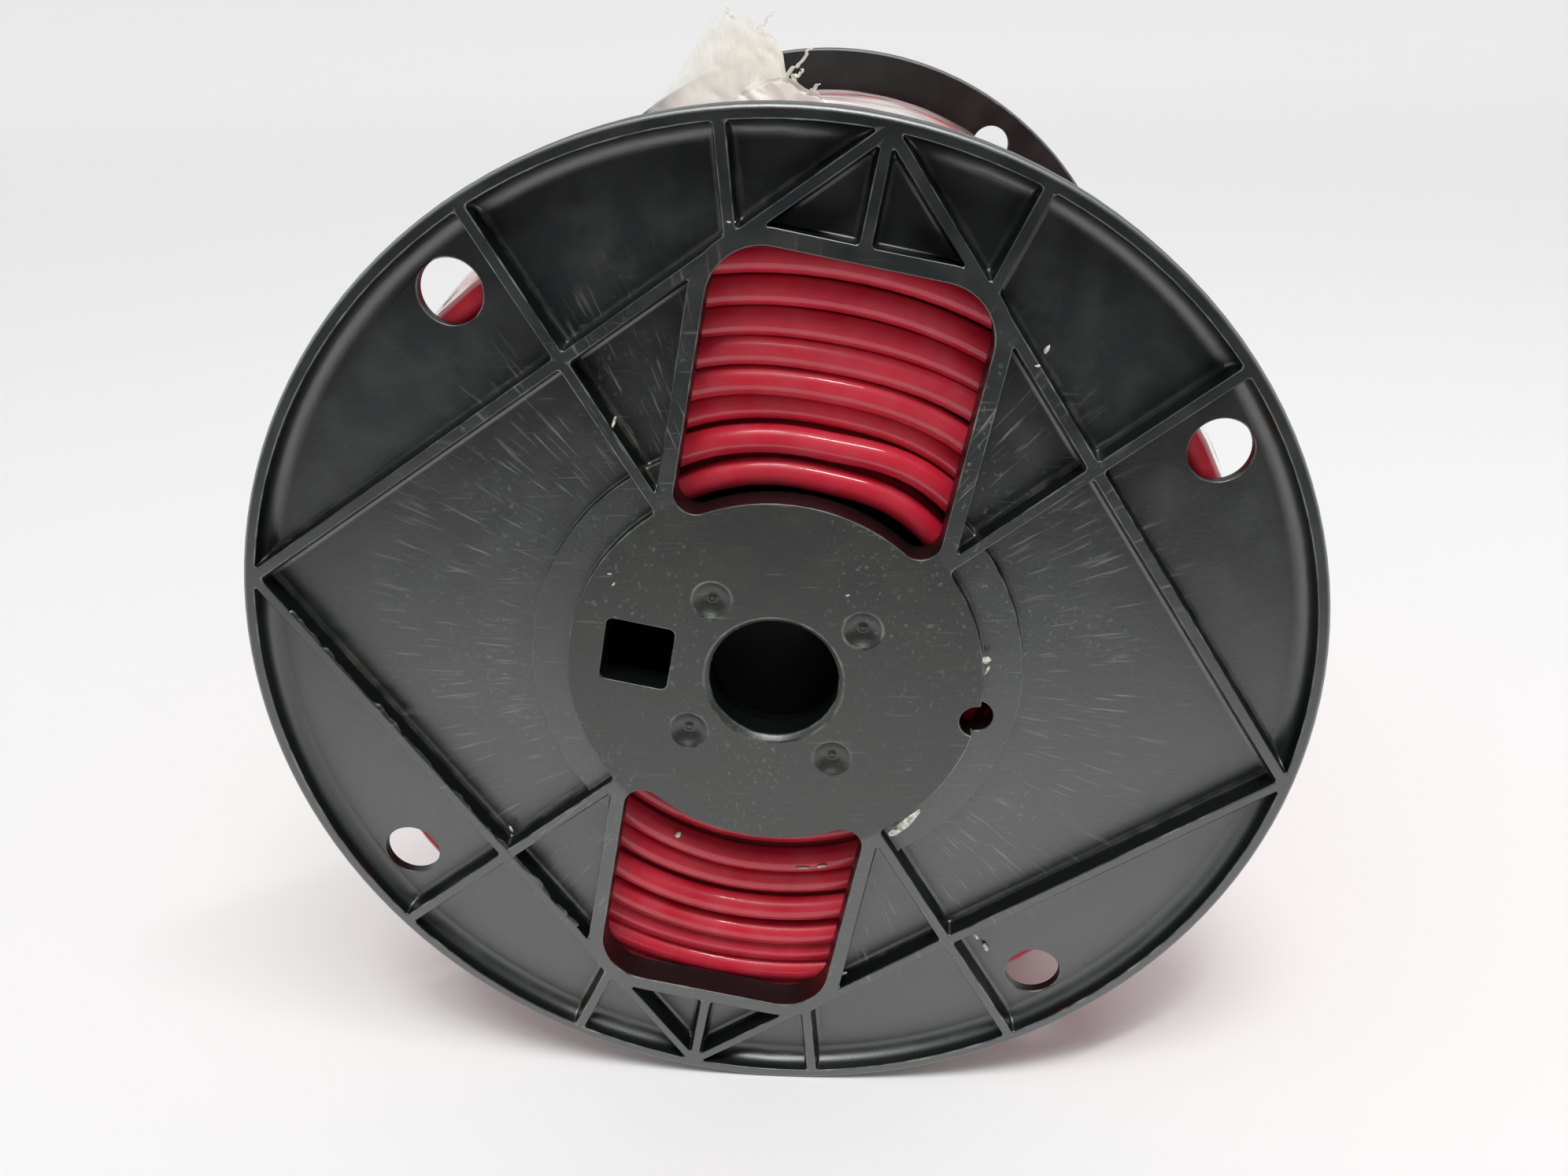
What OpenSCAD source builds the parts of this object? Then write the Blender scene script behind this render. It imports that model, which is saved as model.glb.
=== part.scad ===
// Wire spool: two ribbed plastic flanges on a barrel, wound full with insulated copper wire.
// Millimetres. The axis of the arbor bore is Y, +Z is up and the front flange faces -Y.
// The origin is on the bore's axis, half way between the two outer faces.

/* [Spool] */
// Diameter of each flange
flange_d = 158.8; // [150:0.1:175]
// Width over the outer faces of both flanges
overall_w = 181; // [120:0.1:220]
// Diameter of the barrel that carries the wire
barrel_d = 54.8; // [52:0.1:58]
// Wall of the barrel
barrel_wall = 1.2; // [1:0.1:2.5]
// Depth that the barrel goes into the groove of each flange
barrel_seat = 1.6; // [0.8:0.1:2.6]
// How far each flange's pattern leans clockwise, seen from its own outer side
lean = 12; // [0:0.1:45]

/* [Flange plate] */
// Thickness of the flange over its ribs, rim and hub
flange_t = 5.2; // [4.2:0.1:8]
// Thickness of the web between the ribs
web_t = 1.8; // [1.2:0.1:2.8]
// Radius of the raised hub
hub_r = 30.9; // [29.6:0.1:33]
// Radius of the half-height step round the hub
step_r = 36.7; // [34.5:0.1:40]
// Height of that step over the web
step_h = 1.5; // [0.5:0.1:2.2]
// Width of the rim at its top
rim_w = 1.8; // [1.4:0.1:4]
// Rounding of the rim's outer edge
rim_round = 0.7; // [0.4:0.1:1.8]
// Radius of the cove between the rim and the web
cove_r = 2.6; // [1:0.1:3]

/* [Ribs] */
// Width of a rib at its top
rib_w = 1.65; // [1.2:0.05:3]
// Draft of the ribs' sides, in degrees
rib_draft = 5; // [0:0.5:10]
// Distance from the axis to the corners of the diamond of ribs
diamond_r = 77.9; // [70:0.1:82]
// Angle of the four long radial ribs from the pattern's level line
spoke_angle = 48.6; // [44:0.1:54]
// Angle of the four short radial ribs from the pattern's level line
stub_angle = 74.6; // [72:0.1:79]

/* [Windows] */
// Width of a window
window_w = 38; // [24:0.1:40]
// Distance from the axis to the far edge of a window
window_top = 61.5; // [50:0.1:66]
// Radius of the arc that is a window's near edge
window_arc = 28.1; // [27.8:0.1:29.4]
// Radius of a window's far corners
window_corner = 7.6; // [2:0.1:8]
// Radius of a window's near corners
window_heel = 3; // [1:0.1:4]
// Width of the raised frame round a window
frame_w = 2.4; // [1.5:0.1:4]

/* [Holes] */
// Diameter of the arbor bore
arbor_d = 19.3; // [12:0.1:22]
// Chamfer at the mouth of the arbor bore
arbor_chamfer = 0.8; // [0.2:0.1:1.2]
// Wall of the collar round the bore, inside the barrel
collar_wall = 3; // [1.5:0.1:4]
// Height of that collar over the flange's inner face
collar_h = 1.6; // [0.5:0.1:6]
// Side of the square drive hole
drive_w = 10.16; // [6:0.01:10.4]
// Rounding of the corners of the drive hole
drive_corner = 1; // [0.2:0.1:2]
// Distance from the axis to the middle of the drive hole
drive_at = 20.6; // [18.5:0.1:20.8]
// Diameter of the hole for the start of the wire
start_d = 5.1; // [4.4:0.1:5.6]
// Distance from the axis to that hole
start_at = 30.8; // [30.6:0.1:33]
// Diameter of the four tie holes near the rim
tie_d = 8.9; // [5:0.1:10]
// Distance from the axis to the tie holes
tie_at = 70.4; // [66:0.1:71]
// Angle of the tie holes from the pattern's level line
tie_angle = 41.5; // [36:0.1:43]
// Width of the four shallow gate dimples at their mouth
dimple_d = 5.9; // [3:0.1:7]
// Depth of a gate dimple
dimple_h = 1.3; // [0.4:0.1:2]
// Distance of each dimple from the pattern's level and upright lines
dimple_at = 11.1; // [10.5:0.1:12]
// Diameter of the gate mark in each dimple
gate_d = 0.9; // [0.5:0.1:1.5]
// Height of that mark over the bottom of its dimple
gate_h = 0.4; // [0.2:0.1:0.8]

/* [Wire] */
// Outer diameter of the insulated wire
wire_d = 4.2; // [3:0.1:5.5]
// Radius of the winding over its outer layer
wound_r = 69.6; // [60:0.1:72]
// Turns that the outer layer shows
turns = 16; // [8:1:16]
// Most rows under the outer layer that show at the front flange
rows_shown = 8; // [4:1:8]
// Radius of the bend where the end of the outer layer dips under it
end_bend = 5; // [4.5:0.1:8]
// Angle round the axis at which that end dips, clockwise from the top
end_at = 90; // [0:1:359]

/* [Stretch film] */
// Thickness of the wrapped film, with the air in its folds
film_t = 1.1; // [0.3:0.1:2]
// Bare wire between the front flange and the film
film_front = 4.8; // [2:0.1:20]
// Bare wire between the film and the rear flange
film_rear = 3.6; // [2:0.1:20]
// Height of the loose gathered end over the wrapped film
tail_h = 18.6; // [6:0.1:30]
// Width of the gathered end where it leaves the wrap
tail_w = 29; // [10:0.1:40]
// Thickness of the gathered end
tail_t = 9; // [3:0.1:20]
// Distance of the gathered end from mid-width, towards the rear flange
tail_y = 5; // [-40:0.1:40]
// Distance of its middle to the left of the axis
tail_x = 15.5; // [-20:0.1:20]

/* [Hidden] */
$fn = 96;

flange_r = flange_d / 2;
barrel_r = barrel_d / 2;
rib_h = flange_t - web_t;
traverse = overall_w - 2 * flange_t;
// play between pieces that are put together
seat_play = 0.06;
wound_play = 0.1;
film_play = 0.2;
// how far a cutter stands out of what it cuts
over = 1;
rim_in = flange_r - rim_w;
rib_foot = rib_w + 2 * rib_h * tan(rib_draft);
// small chamfer along the foot of each rib
foot = 0.4;
// chamfer of the rim at the wound side
wound_edge = 0.4;

plastic = "#2b2f33";
wire_red = "#b3152d";
film_white = [0.93, 0.86, 0.85, 0.4];

layer_r = wound_r - wire_d / 2;
rings_per_turn = 24;
tube_sides = 6;
bend_rings = 4;
// side play of the first and last turn against the flanges
turn_play = 0.4;
turn_first = -traverse / 2 + wire_d / 2 + turn_play;
turn_pitch = (-2 * turn_first) / (turns - 1);
// the rows at the front flange start on the barrel and climb to the outer layer
row_first = barrel_r + wound_play + wire_d / 2;
row_gap = 0.45;
rows = min(rows_shown, floor((layer_r - row_first) / (wire_d + row_gap)));
row_pitch = (layer_r - row_first) / rows;
// shares of a turn over which the wire steps along the barrel, and up to the next row
step_along = [0.7, 0.86];
step_up = [0.86, 1];
// share of a turn that the last one runs before its end dips, done before the turn beside it steps along
end_share = 1 / 3;
// each turn starts that far before the last end, and its steps are clear of the windows with the end at 90
turn_start = end_at - 360 * end_share;
// the core stays under the flats of the faceted turns
core_r = (layer_r - wire_d / 2) * cos(180 / rings_per_turn) - wound_play;
// the core starts behind the rows
core_front = turn_first + wire_d / 2 + wound_play;
// the last end runs straight for one wire diameter and stands on the floor of a notch in the core
notch_floor = layer_r - end_bend - wire_d;
notch_play = 0.5;
film_r = wound_r + film_play;

function arc(cx, cy, r, a0, a1, n = 4) =
    [for (i = [0 : n]) let (a = a0 + (a1 - a0) * i / n) [cx + r * cos(a), cy + r * sin(a)]];

// ---------- flange, with x and y along its pattern and z outwards from the wound side ----------

// everything that the flange may fill: a disc with its outer edge rounded and its wound edge chamfered
module envelope() {
    rotate_extrude() polygon(concat(
        [[0, 0], [flange_r - wound_edge, 0], [flange_r, wound_edge]],
        arc(flange_r - rim_round, flange_t - rim_round, rim_round, 0, 90),
        [[0, flange_t]]));
}

// web, cove and rim in one turned section, taller than the flange so that the envelope trims them
module web_and_rim() {
    rotate_extrude() polygon(concat(
        [[hub_r / 2, -over], [flange_r + over, -over], [flange_r + over, flange_t + over],
            [rim_in, flange_t + over]],
        arc(rim_in - cove_r, web_t + cove_r, cove_r, 0, -90),
        [[hub_r / 2, web_t]]));
}

// one straight rib along x, standing in the web and taller than the flange
module rib(length) {
    lean_in = tan(rib_draft);
    rotate([90, 0, 90]) linear_extrude(length)
        polygon([[-rib_foot / 2 - foot - web_t / 2, -web_t / 2], [-rib_foot / 2 + foot * lean_in, foot],
            [-rib_w / 2 + over * lean_in, rib_h + over], [rib_w / 2 - over * lean_in, rib_h + over],
            [rib_foot / 2 - foot * lean_in, foot], [rib_foot / 2 + foot + web_t / 2, -web_t / 2]]);
}

module ribs() {
    side = diamond_r * sqrt(2);
    translate([0, 0, web_t]) {
        for (q = [0 : 3]) rotate([0, 0, 90 * q])
            translate([diamond_r, 0, 0]) rotate([0, 0, 135])
                translate([-rib_foot, 0, 0]) rib(side + 2 * rib_foot);
        for (a = [spoke_angle, 180 - spoke_angle, 180 + spoke_angle, -spoke_angle])
            rotate([0, 0, a]) translate([hub_r - over, 0, 0]) rib(flange_r - hub_r);
        for (a = [stub_angle, 180 - stub_angle, 180 + stub_angle, -stub_angle])
            rotate([0, 0, a]) translate([window_top, 0, 0]) rib(flange_r - window_top);
        for (a = [90, 270]) rotate([0, 0, a])
            translate([window_top + frame_w / 2, 0, 0]) rib(flange_r - window_top);
    }
}

// outline of a window: far corners rounded, near edge an arc about the axis
module window_outline(half, top, near, corner, heel) {
    heel_x = half - heel;
    heel_y = sqrt((near + heel) * (near + heel) - heel_x * heel_x);
    touch_x = heel_x * near / (near + heel);
    for (s = [-1, 1]) {
        translate([s * (half - corner), top - corner]) circle(corner);
        translate([s * heel_x, heel_y]) circle(heel);
    }
    difference() {
        union() {
            translate([-half, heel_y]) square([2 * half, top - corner - heel_y]);
            translate([-half + corner, heel_y]) square([2 * (half - corner), top - heel_y]);
            translate([-touch_x, near / 2]) square([2 * touch_x, heel_y + heel / 2 - near / 2]);
        }
        circle(near);
    }
}

module window_hole() {
    translate([0, 0, -over]) linear_extrude(flange_t + 2 * over)
        window_outline(window_w / 2, window_top, window_arc, window_corner, window_heel);
}

module window_frame() {
    half = window_w / 2 + frame_w;
    top = window_top + frame_w;
    corner = window_corner + frame_w;
    translate([0, 0, web_t / 2]) linear_extrude(flange_t) {
        translate([-half, 0]) square([2 * half, top - corner]);
        translate([-half + corner, 0]) square([2 * (half - corner), top]);
        for (s = [-1, 1]) translate([s * (half - corner), top - corner]) circle(corner);
    }
}

module drive_hole() {
    inner = drive_w - 2 * drive_corner;
    translate([-drive_at, 0, -over]) linear_extrude(flange_t + 2 * over) {
        square([drive_w, inner], center = true);
        square([inner, drive_w], center = true);
        for (x = [-1, 1]) for (y = [-1, 1]) translate([x * inner / 2, y * inner / 2]) circle(drive_corner);
    }
}

module arbor_hole() {
    arbor_r = arbor_d / 2;
    translate([0, 0, -collar_h - over]) cylinder(h = flange_t + collar_h + 2 * over, r = arbor_r);
    translate([0, 0, flange_t - arbor_chamfer])
        cylinder(h = arbor_chamfer + over, r1 = arbor_r, r2 = arbor_r + arbor_chamfer + over);
}

// shallow round-bottomed gate dimple, open at the hub face
module gate_dimple() {
    ball = (dimple_d * dimple_d / 4 + dimple_h * dimple_h) / (2 * dimple_h);
    difference() {
        translate([0, 0, flange_t - dimple_h + ball]) sphere(ball);
        translate([0, 0, flange_t - dimple_h - over]) cylinder(h = over + gate_h, d = gate_d);
    }
}

module flange() {
    difference() {
        union() {
            intersection() {
                envelope();
                union() {
                    web_and_rim();
                    translate([0, 0, -2 * over]) cylinder(h = flange_t + 3 * over, r = hub_r);
                    translate([0, 0, web_t / 2]) cylinder(h = web_t / 2 + step_h, r = step_r);
                    for (s = [0, 1]) rotate([0, 0, 180 * s]) window_frame();
                    ribs();
                }
            }
            translate([0, 0, -collar_h]) cylinder(h = collar_h + web_t, d = arbor_d + 2 * collar_wall);
        }
        for (s = [0, 1]) rotate([0, 0, 180 * s]) window_hole();
        arbor_hole();
        drive_hole();
        translate([start_at, 0, -over]) cylinder(h = flange_t + 2 * over, d = start_d);
        for (a = [tie_angle, 180 - tie_angle, 180 + tie_angle, -tie_angle]) rotate([0, 0, a])
            translate([tie_at, 0, -over]) cylinder(h = flange_t + 2 * over, d = tie_d);
        for (x = [-1, 1]) for (y = [-1, 1]) translate([x * dimple_at, y * dimple_at, 0]) gate_dimple();
        // groove for the end of the barrel
        translate([0, 0, -over]) difference() {
            cylinder(h = over + barrel_seat, r = barrel_r + seat_play);
            translate([0, 0, -over])
                cylinder(h = 3 * over + barrel_seat, r = barrel_r - barrel_wall - seat_play);
        }
    }
}

module front_flange() {
    color(plastic) translate([0, -traverse / 2, 0]) rotate([90, 0, 0]) rotate([0, 0, -lean]) flange();
}

// the same moulding, turned to face the other way
module rear_flange() {
    rotate([0, 0, 180]) front_flange();
}

module barrel() {
    color(plastic) rotate([90, 0, 0]) difference() {
        cylinder(h = traverse + 2 * barrel_seat, r = barrel_r, center = true);
        cylinder(h = traverse + 2 * barrel_seat + 2 * over, r = barrel_r - barrel_wall, center = true);
    }
}

// ---------- wire ----------

// a point of the winding: angle round the axis from the top, radius, place along the axis
function wound_point(a, r, y) = [r * sin(a), y, r * cos(a)];

// 0 before a share of a turn, 1 after it and an even climb between
function climb(f, share) = min(1, max(0, (f - share[0]) / (share[1] - share[0])));
function rows_up(t) = min(rows, floor(t) + climb(t - floor(t), step_up));
function turns_along(t) = min(turns - 1, max(0, floor(t) - rows + climb(t - floor(t), step_along)));

// rows at the front flange first, from the barrel out, and then the outer layer to the rear flange
last_ring = round((rows + turns - 1 + end_share) * rings_per_turn);
turn_path = [for (i = [0 : last_ring]) let (t = i / rings_per_turn)
    wound_point(turn_start + 360 * t, row_first + row_pitch * rows_up(t),
        turn_first + turn_pitch * turns_along(t))];
// the last end bends off the outer layer and goes straight down to the notch floor
turn_end = turn_start + 360 * last_ring / rings_per_turn;
bend_angle = end_bend * 180 / (PI * layer_r);
dip_path = concat(
    [for (i = [bend_rings - 1 : -1 : 0]) let (b = 90 * i / bend_rings)
        wound_point(turn_end + bend_angle * cos(b), notch_floor + wire_d + end_bend * sin(b), -turn_first)],
    [wound_point(turn_end + bend_angle, notch_floor, -turn_first)]);
wire_path = concat(turn_path, dip_path);

function unit(v) = v / norm(v);
function heading(p, i) = unit(p[min(i + 1, len(p) - 1)] - p[max(i - 1, 0)]);
// one ring of points square to the path, kept upright by the spool's axis
function tube_ring(c, t, d) =
    let (side = unit([0, 1, 0] - t * t[1]), up = cross(t, side))
    [for (k = [0 : tube_sides - 1]) let (a = 360 * k / tube_sides)
        c + d / 2 * (cos(a) * up + sin(a) * side)];

module tube(path, d) {
    n = len(path);
    rings = [for (i = [0 : n - 1]) tube_ring(path[i], i < 2 ? unit(path[1] - path[0]) :
        i > n - 3 ? unit(path[n - 1] - path[n - 2]) : heading(path, i), d)];
    skin = [for (i = [0 : n - 2]) for (k = [0 : tube_sides - 1])
        let (a = i * tube_sides + k, b = i * tube_sides + (k + 1) % tube_sides,
            c = a + tube_sides, e = b + tube_sides)
        each [[a, c, b], [b, c, e]]];
    first = [for (k = [1 : tube_sides - 2]) [0, k, k + 1]];
    z = (n - 1) * tube_sides;
    last = [for (k = [1 : tube_sides - 2]) [z, z + k + 1, z + k]];
    polyhedron([for (r = rings) each r], concat(skin, first, last));
}

// least gap between one turn and the next, measured over every pair of nearby points
half_turn = rings_per_turn / 2;
gaps = [for (i = [0 : len(wire_path) - 1])
    for (j = [i + half_turn : min(i + 3 * half_turn, len(wire_path) - 1)])
        norm(wire_path[i] - wire_path[j]) - wire_d];
echo(least_gap_between_turns_mm = min(gaps));

// room in the rear end of the core for the last end of the wire
module end_notch() {
    beside = wire_d / 2 + notch_play;
    before = beside + end_bend;
    depth = wire_d + 2 * turn_play;
    rotate([0, turn_end + bend_angle, 0]) translate([-before, traverse / 2 - depth, notch_floor])
        cube([before + beside, depth + over, wound_r]);
}

// the inner layers, one plain body behind the rows at the front flange
module wire_core() {
    core_len = traverse / 2 - wound_play - core_front;
    color(wire_red) difference() {
        translate([0, core_front, 0]) rotate([-90, 0, 0]) difference() {
            cylinder(h = core_len, r = core_r);
            translate([0, 0, -over]) cylinder(h = core_len + 2 * over, r = barrel_r + wound_play);
        }
        end_notch();
    }
}

module wire_turns() {
    color(wire_red) tube(wire_path, wire_d);
}

// ---------- stretch film ----------

film_len = traverse - film_front - film_rear;

module film_wrap() {
    color(film_white) translate([0, (film_front - film_rear) / 2, 0]) rotate([90, 0, 0]) difference() {
        cylinder(h = film_len, r = film_r + film_t, center = true);
        cylinder(h = film_len + 2 * over, r = film_r, center = true);
    }
}

// the gathered loose end: a crumpled flap, wide at its foot, standing on the wrap
module film_tail() {
    r = film_r + film_t;
    color(film_white) difference() {
        translate([-tail_x, tail_y + tail_t / 2, r]) rotate([90, 0, 0]) linear_extrude(tail_t)
            polygon([[-tail_w / 2, -r / 4], [-tail_w / 2, 0], [-tail_w * 0.3, tail_h * 0.52],
                [-tail_w * 0.1, tail_h * 0.8], [0, tail_h], [tail_w * 0.18, tail_h * 0.92],
                [tail_w * 0.36, tail_h * 0.66], [tail_w * 0.42, tail_h * 0.35],
                [tail_w / 2, tail_h * 0.12], [tail_w / 2, -r / 4]]);
        rotate([90, 0, 0]) cylinder(h = overall_w, r = r, center = true);
    }
}

front_flange();
rear_flange();
barrel();
wire_core();
wire_turns();
film_wrap();
film_tail();
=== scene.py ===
"""Looks of the wire spool: two moulded flanges, the barrel, the wound wire and its stretch film."""
import math

import bmesh
import bpy
from mathutils import Matrix, Vector, noise


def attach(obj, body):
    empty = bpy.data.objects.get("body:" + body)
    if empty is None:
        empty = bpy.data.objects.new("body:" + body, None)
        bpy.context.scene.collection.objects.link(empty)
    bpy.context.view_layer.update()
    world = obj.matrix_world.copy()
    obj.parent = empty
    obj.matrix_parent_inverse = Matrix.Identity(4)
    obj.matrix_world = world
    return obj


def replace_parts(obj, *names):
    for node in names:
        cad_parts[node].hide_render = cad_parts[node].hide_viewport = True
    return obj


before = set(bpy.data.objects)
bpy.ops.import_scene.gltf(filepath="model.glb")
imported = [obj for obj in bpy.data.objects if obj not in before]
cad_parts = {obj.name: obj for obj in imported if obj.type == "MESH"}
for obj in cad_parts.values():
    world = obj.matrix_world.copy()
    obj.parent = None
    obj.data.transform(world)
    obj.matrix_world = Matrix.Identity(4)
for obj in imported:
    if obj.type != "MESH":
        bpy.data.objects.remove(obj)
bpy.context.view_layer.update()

# Sizes in millimetres, in the part's own frame: Y along the bore, front flange towards -Y, Z up.
MM = 0.001
AXIS = (0, 1, 0)

# Flanges: each wound side lies INNER_FACE from mid-width, and the rib pattern leans by LEAN.
FLANGE_R = 79.4
FLANGE_T = 5.2
INNER_FACE = 85.3
LEAN = math.radians(12)
HUB_R = 30.9
DIAMOND_R = 77.9
BARREL_R = 27.4

# Wire: the radius of the outer layer's middle line, how many turns and layers there are, the step from
# turn to turn and from layer to layer, and the room that the wire keeps to a flange.
WIRE_D = 4.2
OUTER_LAYER_R = 67.5
OUTER_TURNS = 40
LAYERS_UNDER = 9
END_TURNS = 2
TURN_ALONG = 4.3
LAYER_UP = 4.18
LAY_GAP = 0.15

# Each turn starts here and steps along just before it, away from the windows (degrees from the top).
TURN_START = 290
STEP_SHARE = 0.86

# Film: the sleeve's radius, and how far its ends stay from the flanges.
FILM_R = 70.3
FILM_FRONT = 4.8
FILM_REAR = 3.6


# ---------- small helpers ----------

def paint(code):
    """Linear colour of an sRGB hex code."""
    parts = [int(code[i:i + 2], 16) / 255 for i in (1, 3, 5)]
    return [p / 12.92 if p <= 0.04045 else ((p + 0.055) / 1.055) ** 2.4 for p in parts] + [1.0]


def add(tree, kind, links=None, stops=None, **settings):
    """Adds a node. Each entry of links is a socket to join or a value to set; stops fill a colour ramp."""
    node = tree.nodes.new(kind)
    for name, value in settings.items():
        setattr(node, name, value)
    for key, value in (links or {}).items():
        if isinstance(value, bpy.types.NodeSocket):
            tree.links.new(value, node.inputs[key])
        else:
            node.inputs[key].default_value = value
    if stops:
        ramp = node.color_ramp.elements
        while len(ramp) < len(stops):
            ramp.new(1.0)
        for element, (place, colour) in zip(ramp, stops):
            element.position = place
            element.color = colour
    return node


def new_material(name):
    """A material without nodes yet, and its tree."""
    material = bpy.data.materials.new(name)
    material.use_nodes = True
    material.node_tree.nodes.clear()
    return material, material.node_tree


def in_millimetres(tree):
    """The place on the object, in millimetres."""
    place = add(tree, "ShaderNodeTexCoord").outputs["Object"]
    return add(tree, "ShaderNodeVectorMath", {0: place, "Scale": 1 / MM}, operation="SCALE").outputs[0]


def piece_from(bm, name, material):
    """Turns a bmesh into a smoothly shaded piece that rides on the spool."""
    mesh = bpy.data.meshes.new(name)
    bm.to_mesh(mesh)
    bm.free()
    for face in mesh.polygons:
        face.use_smooth = True
    mesh.materials.append(material)
    piece = bpy.data.objects.new(name, mesh)
    bpy.context.scene.collection.objects.link(piece)
    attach(piece, "root")
    return piece


def wave(x, y, z, seed, size):
    """Smooth noise from -1 to 1 that changes over the given size in millimetres."""
    return noise.noise(Vector((x / size + seed * 17.3, y / size - seed * 5.1, z / size + seed * 9.7)))


def ridge(x, y, z, seed, size):
    """Noise from 0 to 1 with sharp ridges, as creases in a crumpled sheet have."""
    return 1 - min(1, 2.4 * abs(wave(x, y, z, seed, size)))


def ease(t):
    """From 0 to 1 with a soft start and end, and level outside."""
    t = min(1, max(0, t))
    return t * t * (3 - 2 * t)


def between(x, points):
    """Height of an outline of (across, up) points at the place x."""
    for (x0, z0), (x1, z1) in zip(points, points[1:]):
        if x <= x1:
            return z0 + (z1 - z0) * max(0, x - x0) / (x1 - x0)
    return points[-1][1]


def on_front(u, v, height):
    """A place on the front flange: along its pattern's level line, up it, and over its inner face."""
    x = u * math.cos(LEAN) + v * math.sin(LEAN)
    z = v * math.cos(LEAN) - u * math.sin(LEAN)
    return Vector((x, -INNER_FACE - height, z)) * MM


def in_pattern(point):
    """The inverse of on_front, in millimetres and without the height."""
    x, z = point.x / MM, point.z / MM
    return x * math.cos(LEAN) - z * math.sin(LEAN), x * math.sin(LEAN) + z * math.cos(LEAN)


# ---------- materials ----------

def moulded_plastic():
    """High-impact polystyrene, injection moulded in blue-black: semi-gloss, with a fine moulded skin.
    Handling leaves pale thin scratches that run out from the hub, rubbed edges, a rim worn pale where it
    rolls, and dust in the corners."""
    material, tree = new_material("moulded_black_polystyrene")
    place = in_millimetres(tree)
    apart = add(tree, "ShaderNodeSeparateXYZ", {0: place})
    x, z = apart.outputs["X"], apart.outputs["Z"]
    angle = add(tree, "ShaderNodeMath", {0: x, 1: z}, operation="ARCTAN2").outputs[0]
    flat = add(tree, "ShaderNodeCombineXYZ", {"X": x, "Z": z}).outputs[0]
    radius = add(tree, "ShaderNodeVectorMath", {0: flat}, operation="LENGTH").outputs["Value"]

    # 1 on faces that look along the bore, 0 on the walls of ribs, pockets and windows, which nothing rubs
    facing = add(tree, "ShaderNodeNewGeometry").outputs["Normal"]
    facing = add(tree, "ShaderNodeSeparateXYZ", {0: facing}).outputs["Y"]
    facing = add(tree, "ShaderNodeMath", {0: facing}, operation="ABSOLUTE").outputs[0]
    flat_on = add(tree, "ShaderNodeMapRange", {0: facing, 1: 0.3, 2: 0.7}).outputs[0]

    # scratches: long along the radius, about 0.6 mm apart across it where the flange rubs most
    across = add(tree, "ShaderNodeMath", {0: angle, 1: 78.0}, operation="MULTIPLY").outputs[0]
    along = add(tree, "ShaderNodeMath", {0: radius, 1: 0.11}, operation="MULTIPLY").outputs[0]
    polar = add(tree, "ShaderNodeCombineXYZ", {"X": across, "Y": along}).outputs[0]
    strokes = add(tree, "ShaderNodeTexNoise", {"Vector": polar, "Scale": 1.0, "Detail": 2.0}).outputs["Fac"]
    strokes = add(tree, "ShaderNodeMapRange", {0: strokes, 1: 0.60, 2: 0.78, 4: 0.8}).outputs[0]
    band_in = add(tree, "ShaderNodeMapRange", {0: radius, 1: 35.0, 2: 41.0}).outputs[0]
    band_out = add(tree, "ShaderNodeMapRange", {0: radius, 1: 66.0, 2: 50.0}).outputs[0]
    band = add(tree, "ShaderNodeMath", {0: band_in, 1: band_out}, operation="MULTIPLY").outputs[0]
    scratches = add(tree, "ShaderNodeMath", {0: strokes, 1: band}, operation="MULTIPLY").outputs[0]

    # scuffs: specks of 0.4 mm in drifts, and hairlines 5 to 10 mm long that cross each other
    specks = add(tree, "ShaderNodeTexNoise", {"Vector": place, "Scale": 1.3, "Detail": 4.0}).outputs["Fac"]
    specks = add(tree, "ShaderNodeMapRange", {0: specks, 1: 0.60, 2: 0.75, 4: 0.5}).outputs[0]
    clouds = add(tree, "ShaderNodeTexNoise", {"Vector": place, "Scale": 0.06, "Detail": 3.0}).outputs["Fac"]
    scuff_zone = add(tree, "ShaderNodeMapRange", {0: clouds, 1: 0.42, 2: 0.62, 3: 0.12}).outputs[0]
    scuffs = add(tree, "ShaderNodeMath", {0: specks, 1: scuff_zone}, operation="MULTIPLY").outputs[0]
    inner = add(tree, "ShaderNodeMapRange", {0: radius, 1: 64.0, 2: 50.0, 3: 0.1}).outputs[0]
    scuffs = add(tree, "ShaderNodeMath", {0: scuffs, 1: inner}, operation="MULTIPLY").outputs[0]
    marks = add(tree, "ShaderNodeMath", {0: scratches, 1: scuffs}, operation="MAXIMUM").outputs[0]
    for turn, spacing in ((0.5, 2.2), (-0.8, 1.8)):
        line = add(tree, "ShaderNodeMapping",
                   {"Vector": place, "Rotation": (0, turn, 0), "Scale": (0.11, 0.3, spacing)}).outputs[0]
        hair = add(tree, "ShaderNodeTexNoise", {"Vector": line, "Scale": 1.0, "Detail": 1.0}).outputs["Fac"]
        hair = add(tree, "ShaderNodeMapRange", {0: hair, 1: 0.70, 2: 0.80, 4: 0.3}).outputs[0]
        hair = add(tree, "ShaderNodeMath", {0: hair, 1: inner}, operation="MULTIPLY").outputs[0]
        marks = add(tree, "ShaderNodeMath", {0: marks, 1: hair}, operation="MAXIMUM").outputs[0]
    marks = add(tree, "ShaderNodeMath", {0: marks, 1: flat_on}, operation="MULTIPLY").outputs[0]

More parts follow.
